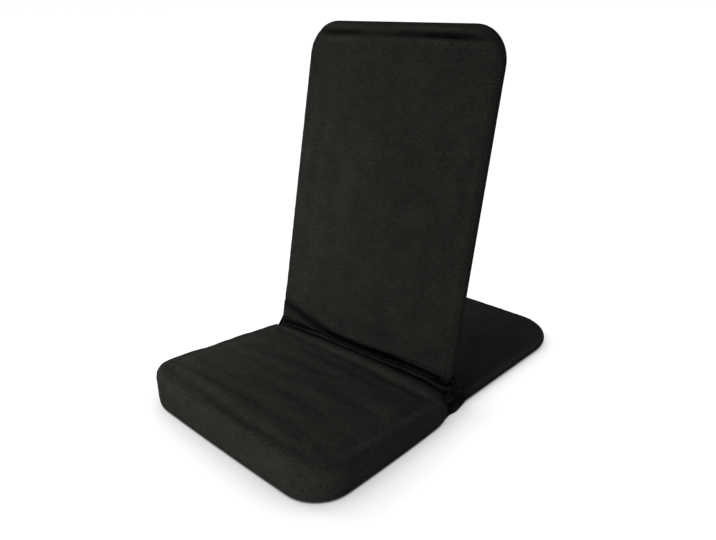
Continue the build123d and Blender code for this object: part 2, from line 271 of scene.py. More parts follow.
def newGroup(name, inputs, outputs):
    # Each input has its value, and None stands for a vector
    group = bpy.data.node_groups.new(name, "ShaderNodeTree")
    for label, value in inputs.items():
        kind = "NodeSocketVector" if value is None else "NodeSocketFloat"
        socket = group.interface.new_socket(name=label, in_out="INPUT", socket_type=kind)
        if value is not None:
            socket.default_value = value
    for label in outputs:
        group.interface.new_socket(name=label, in_out="OUTPUT", socket_type="NodeSocketFloat")
    return group, group.nodes.new("NodeGroupInput"), group.nodes.new("NodeGroupOutput")


def addNode(tree, kind, **settings):
    # The node's own properties and its sockets are set by name, and i0, i1 and so on are sockets by number
    node = tree.nodes.new(kind)
    for key, value in settings.items():
        if key in node.bl_rna.properties:
            setattr(node, key, value)
    for key, value in settings.items():
        if key in node.bl_rna.properties:
            continue
        numberedSocket = key[0] == "i" and key[1:].isdigit()
        socket = node.inputs[int(key[1:]) if numberedSocket else key.replace("_", " ")]
        if isinstance(value, bpy.types.NodeSocket):
            tree.links.new(value, socket)
        else:
            socket.default_value = value
    return node


def calc(tree, operation, *values, clamp=False):
    settings = {f"i{k}": value for k, value in enumerate(values)}
    return addNode(tree, "ShaderNodeMath", operation=operation, use_clamp=clamp, **settings).outputs[0]


def vectorCalc(tree, operation, *values):
    settings = {f"i{k}": value for k, value in enumerate(values)}
    return addNode(tree, "ShaderNodeVectorMath", operation=operation, **settings).outputs[0]


def noise(tree, vector, scale, detail=2.0, rough=0.5):
    settings = {"Vector": vector, "Scale": scale, "Detail": detail, "Roughness": rough}
    return addNode(tree, "ShaderNodeTexNoise", **settings).outputs[0]


def ranged(tree, value, low, high, outLow, outHigh):
    settings = {"Value": value, "From_Min": low, "From_Max": high, "To_Min": outLow, "To_Max": outHigh}
    return addNode(tree, "ShaderNodeMapRange", clamp=True, **settings).outputs[0]


def mixValue(tree, factor, first, second):
    return addNode(tree, "ShaderNodeMix", data_type="FLOAT", i0=factor, i2=first, i3=second).outputs[0]


def mixColour(tree, factor, first, second, blend="MIX"):
    settings = {"data_type": "RGBA", "blend_type": blend, "i0": factor, "i6": first, "i7": second}
    return addNode(tree, "ShaderNodeMix", **settings).outputs[2]


def buildWeave():
    # Plain weave, in millimetres: threads one way rise where the product of two sines is above zero, and
    # the others where it is below. Tone varies along single threads, and slubs are long thick places in some.
    inputs = {"Place": None, "Pitch": 0.8, "Slubs": 1.0}
    group, into, out = newGroup("canvasWeave", inputs, ["Height", "Tone", "Slub"])
    place = vectorCalc(group, "MULTIPLY", into.outputs["Place"], (1000, 1000, 1000))
    wander = addNode(group, "ShaderNodeTexNoise", Vector=place, Scale=0.12, Detail=2.0).outputs[1]
    shift = vectorCalc(group, "SUBTRACT", wander, (0.5, 0.5, 0.5))
    moved = vectorCalc(group, "MULTIPLY_ADD", shift, (1.2, 1.2, 0), place)
    split = addNode(group, "ShaderNodeSeparateXYZ", i0=moved)

    def wave(across):
        turns = calc(group, "DIVIDE", across, into.outputs["Pitch"])
        return calc(group, "SINE", calc(group, "MULTIPLY", turns, pi))

    def streaks(stretch, detail, rough):
        return noise(group, vectorCalc(group, "MULTIPLY", moved, stretch), 1.0, detail, rough)

    u, v = wave(split.outputs[0]), wave(split.outputs[1])
    over = calc(group, "MULTIPLY_ADD", calc(group, "MULTIPLY", u, v), 2.5, 0.5, clamp=True)
    lifts = mixValue(group, over, calc(group, "ABSOLUTE", v), calc(group, "ABSOLUTE", u))
    warp, weft = streaks((1.1, 0.09, 0), 3.0, 0.6), streaks((0.07, 1.0, 0), 3.0, 0.6)
    threads = mixValue(group, over, weft, warp)
    fibre = noise(group, place, 0.55, 4.0, 0.7)
    tone = calc(group, "MULTIPLY_ADD", fibre, 0.5, calc(group, "MULTIPLY", threads, 0.5))
    slub = ranged(group, streaks((0.02, 0.55, 0), 1.0, 0.4), 0.62, 0.78, 0.0, 1.0)
    slub = calc(group, "MULTIPLY", slub, into.outputs["Slubs"])
    rough = calc(group, "MULTIPLY_ADD", slub, 0.5, calc(group, "MULTIPLY", tone, 0.6))
    height = calc(group, "ADD", lifts, rough)
    for label, value in (("Height", height), ("Tone", tone), ("Slub", slub)):
        group.links.new(value, out.inputs[label])
    return group


def buildWear():
    # Patches where a surface is rubbed or dusty, larger and smaller ones mixed
    inputs = {"Place": None, "Size": 20.0, "Low": 0.5, "High": 0.7}
    group, into, out = newGroup("wearPatches", inputs, ["Mask", "Fine"])
    broad = noise(group, into.outputs["Place"], into.outputs["Size"], 5.0, 0.65)
    small = calc(group, "MULTIPLY", into.outputs["Size"], 14.0)
    fine = noise(group, into.outputs["Place"], small, 3.0, 0.6)
    both = calc(group, "MULTIPLY_ADD", fine, 0.25, calc(group, "MULTIPLY", broad, 0.75))
    mask = ranged(group, both, into.outputs["Low"], into.outputs["High"], 0.0, 1.0)
    group.links.new(mask, out.inputs["Mask"])
    group.links.new(fine, out.inputs["Fine"])
    return group


weaveGroup = buildWeave()
wearGroup = buildWear()


def newMaterial(name):
    material = bpy.data.materials.new(name)
    material.use_nodes = True
    tree = material.node_tree
    tree.nodes.clear()
    shader = tree.nodes.new("ShaderNodeBsdfPrincipled")
    output = tree.nodes.new("ShaderNodeOutputMaterial")
    tree.links.new(shader.outputs[0], output.inputs["Surface"])
    return material, tree, shader


canvasLook = {
    "dark": (0.0088, 0.0087, 0.0077, 1),
    "pale": (0.0330, 0.0329, 0.0295, 1),
    "slub": (0.0450, 0.0445, 0.0400, 1),
    "slubShare": 0.6,
    "dust": (0.0400, 0.0392, 0.0348, 1),
    "dustShare": 0.30,
    # how dark the painted shade in creases makes the colour, and how pale the painted highlight on ridges
    "creaseShade": 0.04,
    "paleTone": 1.96,
    "rough": 0.92,
    "gloss": 0.02,
    "weave": {"Pitch": 0.8, "Slubs": 1.0},
    "patches": {"Size": 24.0, "Low": 0.42, "High": 0.72},
    "bump": {"Strength": 0.7, "Distance": 0.00035},
}


def canvasMaterial(name, look):
    material, tree, shader = newMaterial(name)
    place = addNode(tree, "ShaderNodeUVMap", uv_map="cloth").outputs[0]
    weave = addNode(tree, "ShaderNodeGroup", node_tree=weaveGroup, Place=place, **look["weave"])
    place = addNode(tree, "ShaderNodeTexCoord").outputs["Object"]
    wear = addNode(tree, "ShaderNodeGroup", node_tree=wearGroup, Place=place, **look["patches"])
    # Single threads and small blotches of dye set the tone together
    thread = calc(tree, "MULTIPLY", weave.outputs["Tone"], 0.58)
    tone = calc(tree, "MULTIPLY_ADD", wear.outputs["Fine"], 0.42, thread)
    colour = mixColour(tree, ranged(tree, tone, 0.38, 0.62, 0.0, 1.0), look["dark"], look["pale"])
    slub = calc(tree, "MULTIPLY", weave.outputs["Slub"], look["slubShare"])
    dust = calc(tree, "MULTIPLY", wear.outputs["Mask"], look["dustShare"])
    colour = mixColour(tree, slub, colour, look["slub"])
    colour = mixColour(tree, dust, colour, look["dust"])
    # The per-vertex attribute multiplies the colour: painted shade in creases and hollows and a painted
    # highlight on ridges, with some wear
    rub = addNode(tree, "ShaderNodeAttribute", attribute_name="rub").outputs["Fac"]
    shaded = ranged(tree, rub, 0.0, 1.0, look["creaseShade"], look["paleTone"])
    colour = mixColour(tree, 1.0, colour, shaded, "MULTIPLY")
    tree.links.new(colour, shader.inputs["Base Color"])
    rough = ranged(tree, weave.outputs["Tone"], 0.2, 0.8, look["rough"] - 0.06, look["rough"] + 0.05)
    tree.links.new(rough, shader.inputs["Roughness"])
    shader.inputs["Specular IOR Level"].default_value = look["gloss"]
    bump = addNode(tree, "ShaderNodeBump", Height=weave.outputs["Height"], **look["bump"])
    tree.links.new(bump.outputs[0], shader.inputs["Normal"])
    return material


def hardMaterial(name, colour, worn, metallic, rough, bumpDepth, scale, gloss):
    # A plain finish that is a little paler or darker and duller in worn patches
    material, tree, shader = newMaterial(name)
    patches = {"Size": scale, "Low": 0.46, "High": 0.62}
    place = addNode(tree, "ShaderNodeTexCoord").outputs["Object"]
    wear = addNode(tree, "ShaderNodeGroup", node_tree=wearGroup, Place=place, **patches)
    share = calc(tree, "MULTIPLY", wear.outputs["Mask"], 0.5)
    duller = ranged(tree, wear.outputs["Mask"], 0, 1, rough, min(1, rough + 0.18))
    bump = addNode(tree, "ShaderNodeBump", Strength=0.5, Distance=bumpDepth, Height=wear.outputs["Fine"])
    tree.links.new(mixColour(tree, share, colour, worn), shader.inputs["Base Color"])
    tree.links.new(duller, shader.inputs["Roughness"])
    tree.links.new(bump.outputs[0], shader.inputs["Normal"])
    shader.inputs["Metallic"].default_value = metallic
    shader.inputs["Specular IOR Level"].default_value = gloss
    return material


# Finishes other than the cloth: colour, worn colour, metallic, roughness, bump, size of patches and gloss
hardLooks = {
    "blackThread": ((0.018, 0.018, 0.016, 1), (0.038, 0.037, 0.033, 1), 0.0, 0.60, 0.0001, 900.0, 0.3),
    "blackSteel": ((0.011, 0.011, 0.011, 1), (0.022, 0.022, 0.021, 1), 0.0, 0.42, 0.00012, 260.0, 0.45),
    "zincSteel": ((0.50, 0.50, 0.49, 1), (0.36, 0.36, 0.35, 1), 1.0, 0.30, 0.00008, 120.0, 0.5),
    "blackPlastic": ((0.013, 0.013, 0.013, 1), (0.022, 0.022, 0.022, 1), 0.0, 0.48, 0.00008, 300.0, 0.4),
    "whitePlastic": ((0.68, 0.68, 0.65, 1), (0.60, 0.59, 0.55, 1), 0.0, 0.40, 0.00005, 200.0, 0.4),
}
canvas = canvasMaterial("blackCanvas", canvasLook)
hardMaterials = {name: hardMaterial(name, *look) for name, look in hardLooks.items()}
print("materials ready")


# Seat cushion

cushion = {
    "halfWidth": 0.257,
    "front": -0.4095,
    "rear": -0.0510,
    "frontCorner": 0.076,
    "rearCorner": 0.020,
    "topRound": 0.014,
    "baseRound": 0.013,
    "bow": 0.003,
    "middleHeight": 0.0635,
    "slope": 0.0913,
    "crownRadius": 8.45,
    "heelStart": -0.101,
    "heelRadius": 0.1191,
    "cellsAcross": 184,
    "cellsAlong": 132,
    # rings over the top edge, down the wall and round the bottom edge
    "rings": (10, 18, 5),
    "seamRing": 9,
    "seamDrop": 0.0100,
    # the base level of the painted light and shade over the whole cushion
    "worn": 0.70,
    # how far the top's left corners are raised: height, x, y, and half-widths of the raised place
    "lifts": [(0.0040, -0.235, -0.375, 0.035, 0.040), (0.0046, -0.235, -0.085, 0.040, 0.050)],
    # how far the rear edge puffs up, across the chair
    "ridgeX": (-0.250, -0.216, -0.170, -0.120, -0.060, 0.016, 0.073, 0.153, 0.200, 0.226, 0.250),
    "ridge": (0.0000, 0.0005, 0.0020, 0.0030, 0.0050, 0.0062, 0.0070, 0.0068, 0.0050, 0.0025, 0.0000),
    "ridgeY": -0.0580,
    "ridgeWidth": 0.0095,
    # from left to right along the front edge, then further back; x0, y0, x1, y1, bow, width, depth
    "troughs": [
        (-0.235, -0.372, 0.030, -0.379, 0.004, 0.0085, 0.0037),
        (-0.050, -0.384, 0.225, -0.372, -0.002, 0.0070, 0.0022),
        (-0.215, -0.340, 0.120, -0.332, 0.006, 0.0130, 0.0034),
        (-0.240, -0.300, 0.010, -0.286, -0.004, 0.0140, 0.0026),
        (-0.100, -0.262, 0.180, -0.274, 0.005, 0.0150, 0.0027),
        (-0.225, -0.236, 0.000, -0.214, 0.003, 0.0120, 0.0019),
        (0.020, -0.190, 0.230, -0.205, 0.004, 0.0140, 0.0020),
        (-0.200, -0.165, 0.060, -0.150, -0.003, 0.0130, 0.0019),
        (-0.120, -0.110, 0.200, -0.118, 0.004, 0.0110, 0.0020),
    ],
    "troughShare": 0.8,
    # ripples on the top, on the wall, and as puckers at the upper seam
    "topRipples": [(0.0013, 3, 0.075, 0.03, 3.2), (0.0005, 5, 0.028, -0.05, 2.6)],
    "wallRipples": [(0.0007, 8, 0.050, pi / 2 - 0.1, 1.4)],
    "seamPuckers": [(0.0005, 9, 0.016, pi / 2, 2.2)],
    "puckerReach": 0.012,
    # heights between which a form fades in, and places along the chair for the heel
    "wallFade": (0.004, 0.020),
    "liftFade": (0.030, 0.055),
    "ridgeFade": (0.026, 0.042),
    "heelFade": (-0.080, -0.055),
    "topEdge": (0.012, 0.002),  # depths below the top between which its wrinkles fade in
    "leastSwell": -0.0012,
}
# The cloth that the cushion's swelling is taken from
bagSettings = {
    "start": 0.0035,  # how far it lies inside the cushion at first
    "cap": 0.0065,
    "voxel": 0.006,
    "seamBand": 0.004,
    "restHeight": 0.0105,
    "pressure": 4.0,
    "stretchStiffness": 12,
    "bendStiffness": 0.8,
    "frames": 20,
}


def cushionTop(x, y):
    middle = (cushion["front"] + cushion["rear"]) / 2
    far = x**2 + (y - middle) ** 2
    return cushion["middleHeight"] - cushion["slope"] * (y - middle) - far / (2 * cushion["crownRadius"])


def cushionBase(y):
    # Flat on the floor, and an arc that lifts the heel
    past = np.clip(y - cushion["heelStart"], 0, 0.9 * cushion["heelRadius"])
    return cushion["heelRadius"] - np.sqrt(cushion["heelRadius"] ** 2 - past**2)


def bowed(points):
    # The sides bow out a little, and so does the front
    middle = (cushion["front"] + cushion["rear"]) / 2
    half = (cushion["rear"] - cushion["front"]) / 2
    x, y = points[..., 0], points[..., 1]
    wide = 1 - np.clip((y - middle) / half, -1, 1) ** 2
    deep = (1 - np.clip(x / cushion["halfWidth"], -1, 1) ** 2) * smooth(middle - y, 0, half)
    moved = points.copy()
    moved[..., 0] = x * (1 + cushion["bow"] / cushion["halfWidth"] * wide)
    moved[..., 1] = y - cushion["bow"] * deep
    return moved


def cushionSurface():
    # A crowned top on a grid, rings that go over the rounded edge, down the sides and under, and a base
    # on a second grid. Each ring is the outline moved out along its own normals.
    across = np.linspace(0, 1, cushion["cellsAcross"] + 1)
    along = np.linspace(0, 1, cushion["cellsAlong"] + 1)
    rim, baseRim = cushion["topRound"], cushion["baseRound"]
    outline, facing, place = roundedOutline(
        cushion["halfWidth"] - rim, cushion["front"] + rim, cushion["rear"] - rim,
        cushion["frontCorner"] - rim, cushion["rearCorner"] - rim, across, along)
    top = patch(outline, across, along)
    edgeHeight = cushionTop(outline[:, 0], outline[:, 1])
    edgeRings, wallRings, baseRings = cushion["rings"]
    over = np.linspace(0, pi / 2, edgeRings + 1)[1:]
    out = list(rim * np.sin(over))
    high = [edgeHeight - rim * (1 - cos(a)) for a in over]
    wallTop = edgeHeight - rim
    wallBase = cushionBase(outline[:, 1] + rim * facing[:, 1]) + baseRim
    for share in np.linspace(0, 1, wallRings + 1)[1:]:
        out.append(rim)
        high.append(wallTop + (wallBase - wallTop) * share)
    for a in np.linspace(0, pi / 2, baseRings + 1)[1:]:
        out.append(rim - baseRim * (1 - cos(a)))
        high.append(wallBase - baseRim * sin(a))
    rings = outline[None] + np.array(out)[:, None, None] * facing[None]
    ringPoints = np.concatenate([bowed(rings), np.array(high)[..., None]], -1)
    base = patch(rings[-1], across, along)
    topPoints = np.concatenate([bowed(top), cushionTop(top[..., 0], top[..., 1])[..., None]], -1)
    basePoints = np.concatenate([bowed(base), cushionBase(base[..., 1])[..., None]], -1)

    border = tuple(borderOrder(cushion["cellsAcross"], cushion["cellsAlong"]))
    topIndex = numbered(top.shape)
    ringIndex = numbered(rings.shape, topIndex.size)
    inner = np.ones(base.shape[:2], bool)
    inner[border] = False
    baseIndex = np.zeros(base.shape[:2], int)
    baseIndex[inner] = topIndex.size + ringIndex.size + np.arange(inner.sum())
    baseIndex[border] = ringIndex[-1]
    sleeve = closed(np.concatenate([topIndex[border][None], ringIndex]))
    points = np.concatenate([topPoints.reshape(-1, 3), ringPoints.reshape(-1, 3), basePoints[inner]])
    faces = np.concatenate([gridFaces(topIndex), gridFaces(sleeve), gridFaces(baseIndex)[:, ::-1]])

    # The cloth's own places: the top goes on over the edge, the band runs round, the base is flat
    seam = cushion["seamRing"]
    reach = np.concatenate([[0], rim * over[:seam]])
    overEdge = closed(outline[None] + reach[:, None, None] * facing[None])
    length = place[-1] + np.linalg.norm(outline[0] - outline[-1])
    longer = 0.088  # the band's line is this much longer than the outline
    run = np.concatenate([place * (1 + longer / length), [length + longer]])
    down = closed(np.array(high[seam - 1:]))
    band = np.stack([np.broadcast_to(run, down.shape), down], -1)
    uv = np.concatenate([gridFaces(top), gridFaces(overEdge), gridFaces(band), gridFaces(base)[:, ::-1]])
    return points, faces, uv, sleeve


def swellCushion(points, faces, normals):
    # A slightly smaller copy is remeshed and blown up as cloth, held along its seams. The detailed
    # surface then takes over how far each place has swollen.
    smaller = points - normals * bagSettings["start"]
    bag = makePiece("bag", smaller, faces)
    remesh = bag.modifiers.new("even", "REMESH")
    remesh.mode = "VOXEL"
    remesh.voxel_size = bagSettings["voxel"]
    applyModifiers(bag)
    places = readPoints(bag.data)
    x, y, z = places.T
    seamHeight = cushionTop(x, y) - cushion["seamDrop"] - bagSettings["start"]
    sewn = np.abs(z - seamHeight) < bagSettings["seamBand"]
    resting = z < cushionBase(y) + bagSettings["restHeight"]
    group = bag.vertex_groups.new(name="held")
    group.add(np.flatnonzero(sewn | resting).tolist(), 1.0, "ADD")
    cloth = bag.modifiers.new("blown", "CLOTH")
    cloth.settings.use_pressure = True
    cloth.settings.uniform_pressure_force = bagSettings["pressure"]
    cloth.settings.effector_weights.gravity = 0.0
    cloth.settings.vertex_group_mass = "held"
    cloth.settings.tension_stiffness = bagSettings["stretchStiffness"]
    cloth.settings.compression_stiffness = bagSettings["stretchStiffness"]
    cloth.settings.bending_stiffness = bagSettings["bendStiffness"]
    cloth.point_cache.frame_start = 1
    cloth.point_cache.frame_end = bagSettings["frames"]
    scene = bpy.context.scene
    for step in range(1, bagSettings["frames"] + 1):
        scene.frame_set(step)
    applyModifiers(bag)
    travel = readPoints(bag.data) - places
    far = np.linalg.norm(travel, axis=1, keepdims=True)
    writePoints(bag.data, places + travel * np.minimum(1, bagSettings["cap"] / np.maximum(far, 1e-9)))
    bag.modifiers.new("finer", "SUBSURF").levels = 1
    applyModifiers(bag)
    probe = makePiece("probe", smaller, faces)
    wrap = probe.modifiers.new("wrap", "SHRINKWRAP")
    wrap.target = bag
    applyModifiers(probe)
    swollen = ((readPoints(probe.data) - smaller) * normals).sum(1)
    for spare in (bag, probe):
        mesh = spare.data
        bpy.data.objects.remove(spare)
        bpy.data.meshes.remove(mesh)
    scene.frame_set(1)
    print("swelling", round(float(swollen.min()), 4), round(float(swollen.max()), 4))
    return np.clip(swollen, 0, bagSettings["cap"])


stitches = {
    "length": 0.0027,
    "gap": 0.0011,
    "radius": 0.00042,
    "lift": 0.0001,
    "sides": 6,
    # rings along a stitch: place as a share of its length, then girth and height as shares of its radius
    "rings": [
        (-0.5, 0.35, -0.9), (-0.36, 0.85, -0.25), (0.0, 1.0, 0.25), (0.36, 0.85, -0.25), (0.5, 0.35, -0.9)],
    "tip": 0.3,
    # each row: name, the first of the two rings it lies between, and how far on to the second
    "rows": [("seatStitchesTop", 7, 0.4), ("seatStitchesBand", 10, 0.7)],
}


def stitchRow(name, line, outward):
    # Stitches along a line of points: each is a short closed spindle that dips into the cloth at both
    # ends, its rings set out along the line and its sections round it.
    radius, sides = stitches["radius"], stitches["sides"]
    run = travelled(line)
    count = max(1, int(run[-1] / (stitches["length"] + stitches["gap"])))
    middle = (np.arange(count) + 0.5) * run[-1] / count
    steps, girth, height = np.array(stitches["rings"]).T
    place = middle[:, None] + steps[None] * stitches["length"]
    centre = np.stack([np.interp(place, run, line[:, k]) for k in range(3)], -1)
    normal = np.stack([np.interp(place, run, outward[:, k]) for k in range(3)], -1)
    normal /= np.linalg.norm(normal, axis=-1, keepdims=True)
    tangent = centre[:, -1:] - centre[:, :1]
    tangent /= np.linalg.norm(tangent, axis=-1, keepdims=True)
    side = np.cross(normal, tangent)
    centre = centre + normal * (height * radius + stitches["lift"])[None, :, None]
    turn = np.arange(sides) * 2 * pi / sides
    ring = np.cos(turn)[:, None] * normal[:, :, None] + np.sin(turn)[:, None] * side[:, :, None]
    points = centre[:, :, None] + ring * (girth * radius)[None, :, None, None]
    tips = centre[:, [0, -1]] + tangent * np.array([-1, 1])[None, :, None] * stitches["tip"] * radius
    index = closed(numbered((len(steps), sides)))
    points = np.concatenate([points.reshape(count, -1, 3), tips], 1)
    firstTip = np.full(sides, len(steps) * sides)
    ends = np.concatenate([
        np.stack([firstTip, index[0, :-1], index[0, 1:]], -1),
        np.stack([firstTip + 1, index[-1, 1:], index[-1, :-1]], -1)])
    offset = np.arange(count)[:, None, None] * points.shape[1]
    faces = (gridFaces(index) + offset).reshape(-1, 4).tolist() + (ends + offset).reshape(-1, 3).tolist()
    piece = makePiece(name, points.reshape(-1, 3), faces, material=hardMaterials["blackThread"])
    dress(piece, "seat")


def makeCushion():
    points, faces, uv, sleeve = cushionSurface()
    piece = makePiece("seatCushion", points, faces, uv, canvas)
    normals = readPoints(piece.data, "normal")
    x, y, z = points.T
    up = np.clip(normals[:, 2], 0, 1)
    aside = 1 - np.abs(normals[:, 2])
    down = smooth(-normals[:, 2], 0.05, 0.6)
    heel = smooth(y, *cushion["heelFade"])
    start = bagSettings["start"]
    swollen = swellCushion(points, faces, normals)
    swell = np.maximum(swollen - start, cushion["leastSwell"]) * (1 - down) * (1 - 0.7 * heel)
    # Wrinkles lie along the front edge, and small puckers hang from the upper seam. On the wall the place is
    # the run round the cushion, near enough.
    wrinkles = cushion["troughShare"] * folds(x, y, cushion["troughs"]) + ripples(x, y, cushion["topRipples"])
    below = cushionTop(x, y) - z
    wrinkles *= up * smooth(below, *cushion["topEdge"])
    run = np.arctan2(y + 0.23, x) * 0.24
    wall = ripples(run, z, cushion["wallRipples"]) * smooth(z, *cushion["wallFade"])
    wall += ripples(run, z, cushion["seamPuckers"]) * bell(below, cushion["seamDrop"], cushion["puckerReach"])
    moved = points + normals * (swell + wrinkles + aside * wall)[:, None]
    ridge = np.interp(x, cushion["ridgeX"], cushion["ridge"])
    ridge *= bell(y, cushion["ridgeY"], cushion["ridgeWidth"])
    lift = sum(h * bell(x, x0, wide) * bell(y, y0, deep) for h, x0, y0, wide, deep in cushion["lifts"])
    lift = ridge + lift * smooth(z, *cushion["liftFade"])
    moved[:, 2] += lift * smooth(z, *cushion["ridgeFade"]) * (1 - down)
    # Painted light: paler to the right on the wall and to the left on the top; a painted highlight on ridges
    # and painted shade in troughs
    rub = cushion["worn"] + 0.06 * smooth(x, 0.02, 0.20) * (1 - up) + 0.07 * smooth(-x, -0.02, 0.16) * up
    rub += 15 * wrinkles + 30 * ridge
    # The seams pull in, one below the top edge and one above the floor: ring, share of the rings
    # beside it, depth and darkening
    topSeam = (cushion["seamRing"], 0.45, 0.0004, 0.05)
    lowSeam = (len(sleeve) - 1 - cushion["rings"][-1], 0.4, 0.0007, 0.06)
    for ring, beside, depth, darker in (topSeam, lowSeam):
        near = np.zeros(len(points))
        near[sleeve[[ring - 1, ring + 1]]] = beside
        near[sleeve[ring]] = 1.0
        moved -= normals * near[:, None] * depth
        rub -= darker * near
    moved[:, 2] = np.maximum(moved[:, 2], 0.0)
    writePoints(piece.data, moved)
    setShadeAndWear(piece.data, rub)
    dress(piece, "seat", "seat_foam", "seat_top_cloth", "seat_side_band", "seat_bottom_cloth")
    normals = readPoints(piece.data, "normal")
    for name, ring, share in stitches["rows"]:
        line = moved[sleeve[ring]] * (1 - share) + moved[sleeve[ring + 1]] * share
        stitchRow(name, line, normals[sleeve[ring]])


makeCushion()
print("seat cushion done")


# Loose cloth at the hinge

gusset = {
    "thick": 0.0010,
    "rows": 84,
    "step": 0.0022,
    "wrapped": 0.0260,
    "flatHeight": 0.0480,
    # heights across the chair: the ridge of the cushion's rear edge, the crease above it, the crease that
    # ends the first roll, and the top, which climbs to a wing at the left
    "x": (-0.242, -0.216, -0.180, -0.144, -0.104, -0.060, 0.016, 0.073, 0.153, 0.200, 0.226, 0.243),
    "crest": (0.0395, 0.0415, 0.0435, 0.0445, 0.0462, 0.0485, 0.0502, 0.0512, 0.0500, 0.0470, 0.0432, 0.0405),
    "middle": (0.0470, 0.0482, 0.0500, 0.0522, 0.0550, 0.0575, 0.0592, 0.0608, 0.0640, 0.0622, 0.0590, 0.0565),
    "second": (0.0545, 0.0562, 0.0592, 0.0635, 0.0668, 0.0668, 0.0668, 0.0698, 0.0760, 0.0756, 0.0740, 0.0728),
    "top": (0.0990, 0.0962, 0.0865, 0.0785, 0.0720, 0.0692, 0.0692, 0.0722, 0.0785, 0.0780, 0.0765, 0.0752),
    # how far back the first six points of its side view are
    "frontY": (-0.0670, -0.0620, -0.0580, -0.0556, -0.0545, -0.0508),
    # painted shade in the creases and a painted highlight on the ridges between them, point by point
    "tones": (0.60, 0.60, 0.58, 0.44, 0.24, 0.02, 0.46, 0.06, 0.28, 0.02, 0.0),
    "wingTone": 0.50,
    "endTone": 0.30,
    "ripples": [(0.0008, 61, 0.050, 0.0, 2.2), (0.0005, 62, 0.016, 0.0, 2.0)],
    "endFade": (0.222, 0.238),
}
# The back's front face: how far back it is at a height, and how it leans
backFace = {"y": -0.0505, "z": 0.0595, "lean": 0.2035, "share": 0.98}


def acrossWidth(x, name):
    # A height from the table, eased between its places
    reach = np.linspace(-0.012, 0.012, 7)
    return np.mean([np.interp(x + d, gusset["x"], gusset[name]) for d in reach], 0)


def wingShare(x):
    # 1 at the left end, where the gusset's top climbs up the back
    return smooth(-x, 0.060, 0.130)


# Cloth cases of the two frames

backLeaf = {
    "body": "backrest",
    "frame": "back_frame",
    "pivot": chair["backPivot"],
    "lean": radians(chair["recline"]),
    "reach": 0.676,
    "corner": 0.070,
}
rearLeaf = {
    "body": "rear_support",
    "frame": "rear_frame",
    "pivot": chair["rearPivot"],
    "lean": pi / 2,
    "reach": 0.415,
    "corner": 0.103,
}
# What both cases have in common
case = {
    "thick": 0.0011,
    "start": -0.008,
    "cell": 0.0034,
    "edgeRings": 9,
    "slotLips": (0.0008, 0.0017),
    "notchLip": -0.0013,
    "edgeSag": 0.0013,
    "middleSag": 0.0010,
    "least": 0.00015,  # how close the two faces of a case come at its edge
    "overTube": 0.0012,
    # ripples between the tubes, over them, and in short puckers where the slack gathers beside them
    "innerRipples": [(0.0006, 0, 0.110, pi / 2, 2.6), (0.00035, 1, 0.045, 0.0, 1.3)],
    "tubeRipples": [(0.0004, 2, 0.016)],
    "puckers": [(0.0005, 3, 0.012)],
    "puckerPlace": (0.006, 0.004),  # from the tube, and half-width
    "hem": (0.0005, 0.008),  # height and half-width
    # paler cloth along the edge: how much, how far in and half-width
    "edgePale": (0.22, 0.0035, 0.0030),
}
# Where the back's front sinks into the crease above the gusset and bulges over it. Of two values for one
# thing, the first is for all of its width and the second is what the wing at the left adds.
valley = {
    # how deep it is across the chair, as a share
    "x": (-0.10, -0.02, 0.07, 0.15),
    "deep": (0.62, 0.70, 0.90, 1.0),
    "depth": (0.0096, -0.0044),
    "place": (0.0030, -0.0030),
    "width": (0.0066, 0.0030),
    "bulge": (0.0018, 0.019, 0.011),  # height, place and half-width
    # painted shade along the crease: how dark, where, and its half-widths above and below
    "dark": (0.55, -0.14),
    "darkPlace": 0.0020,
    "darkAbove": (0.0085, 0.0095),
    "darkBelow": 0.009,
}
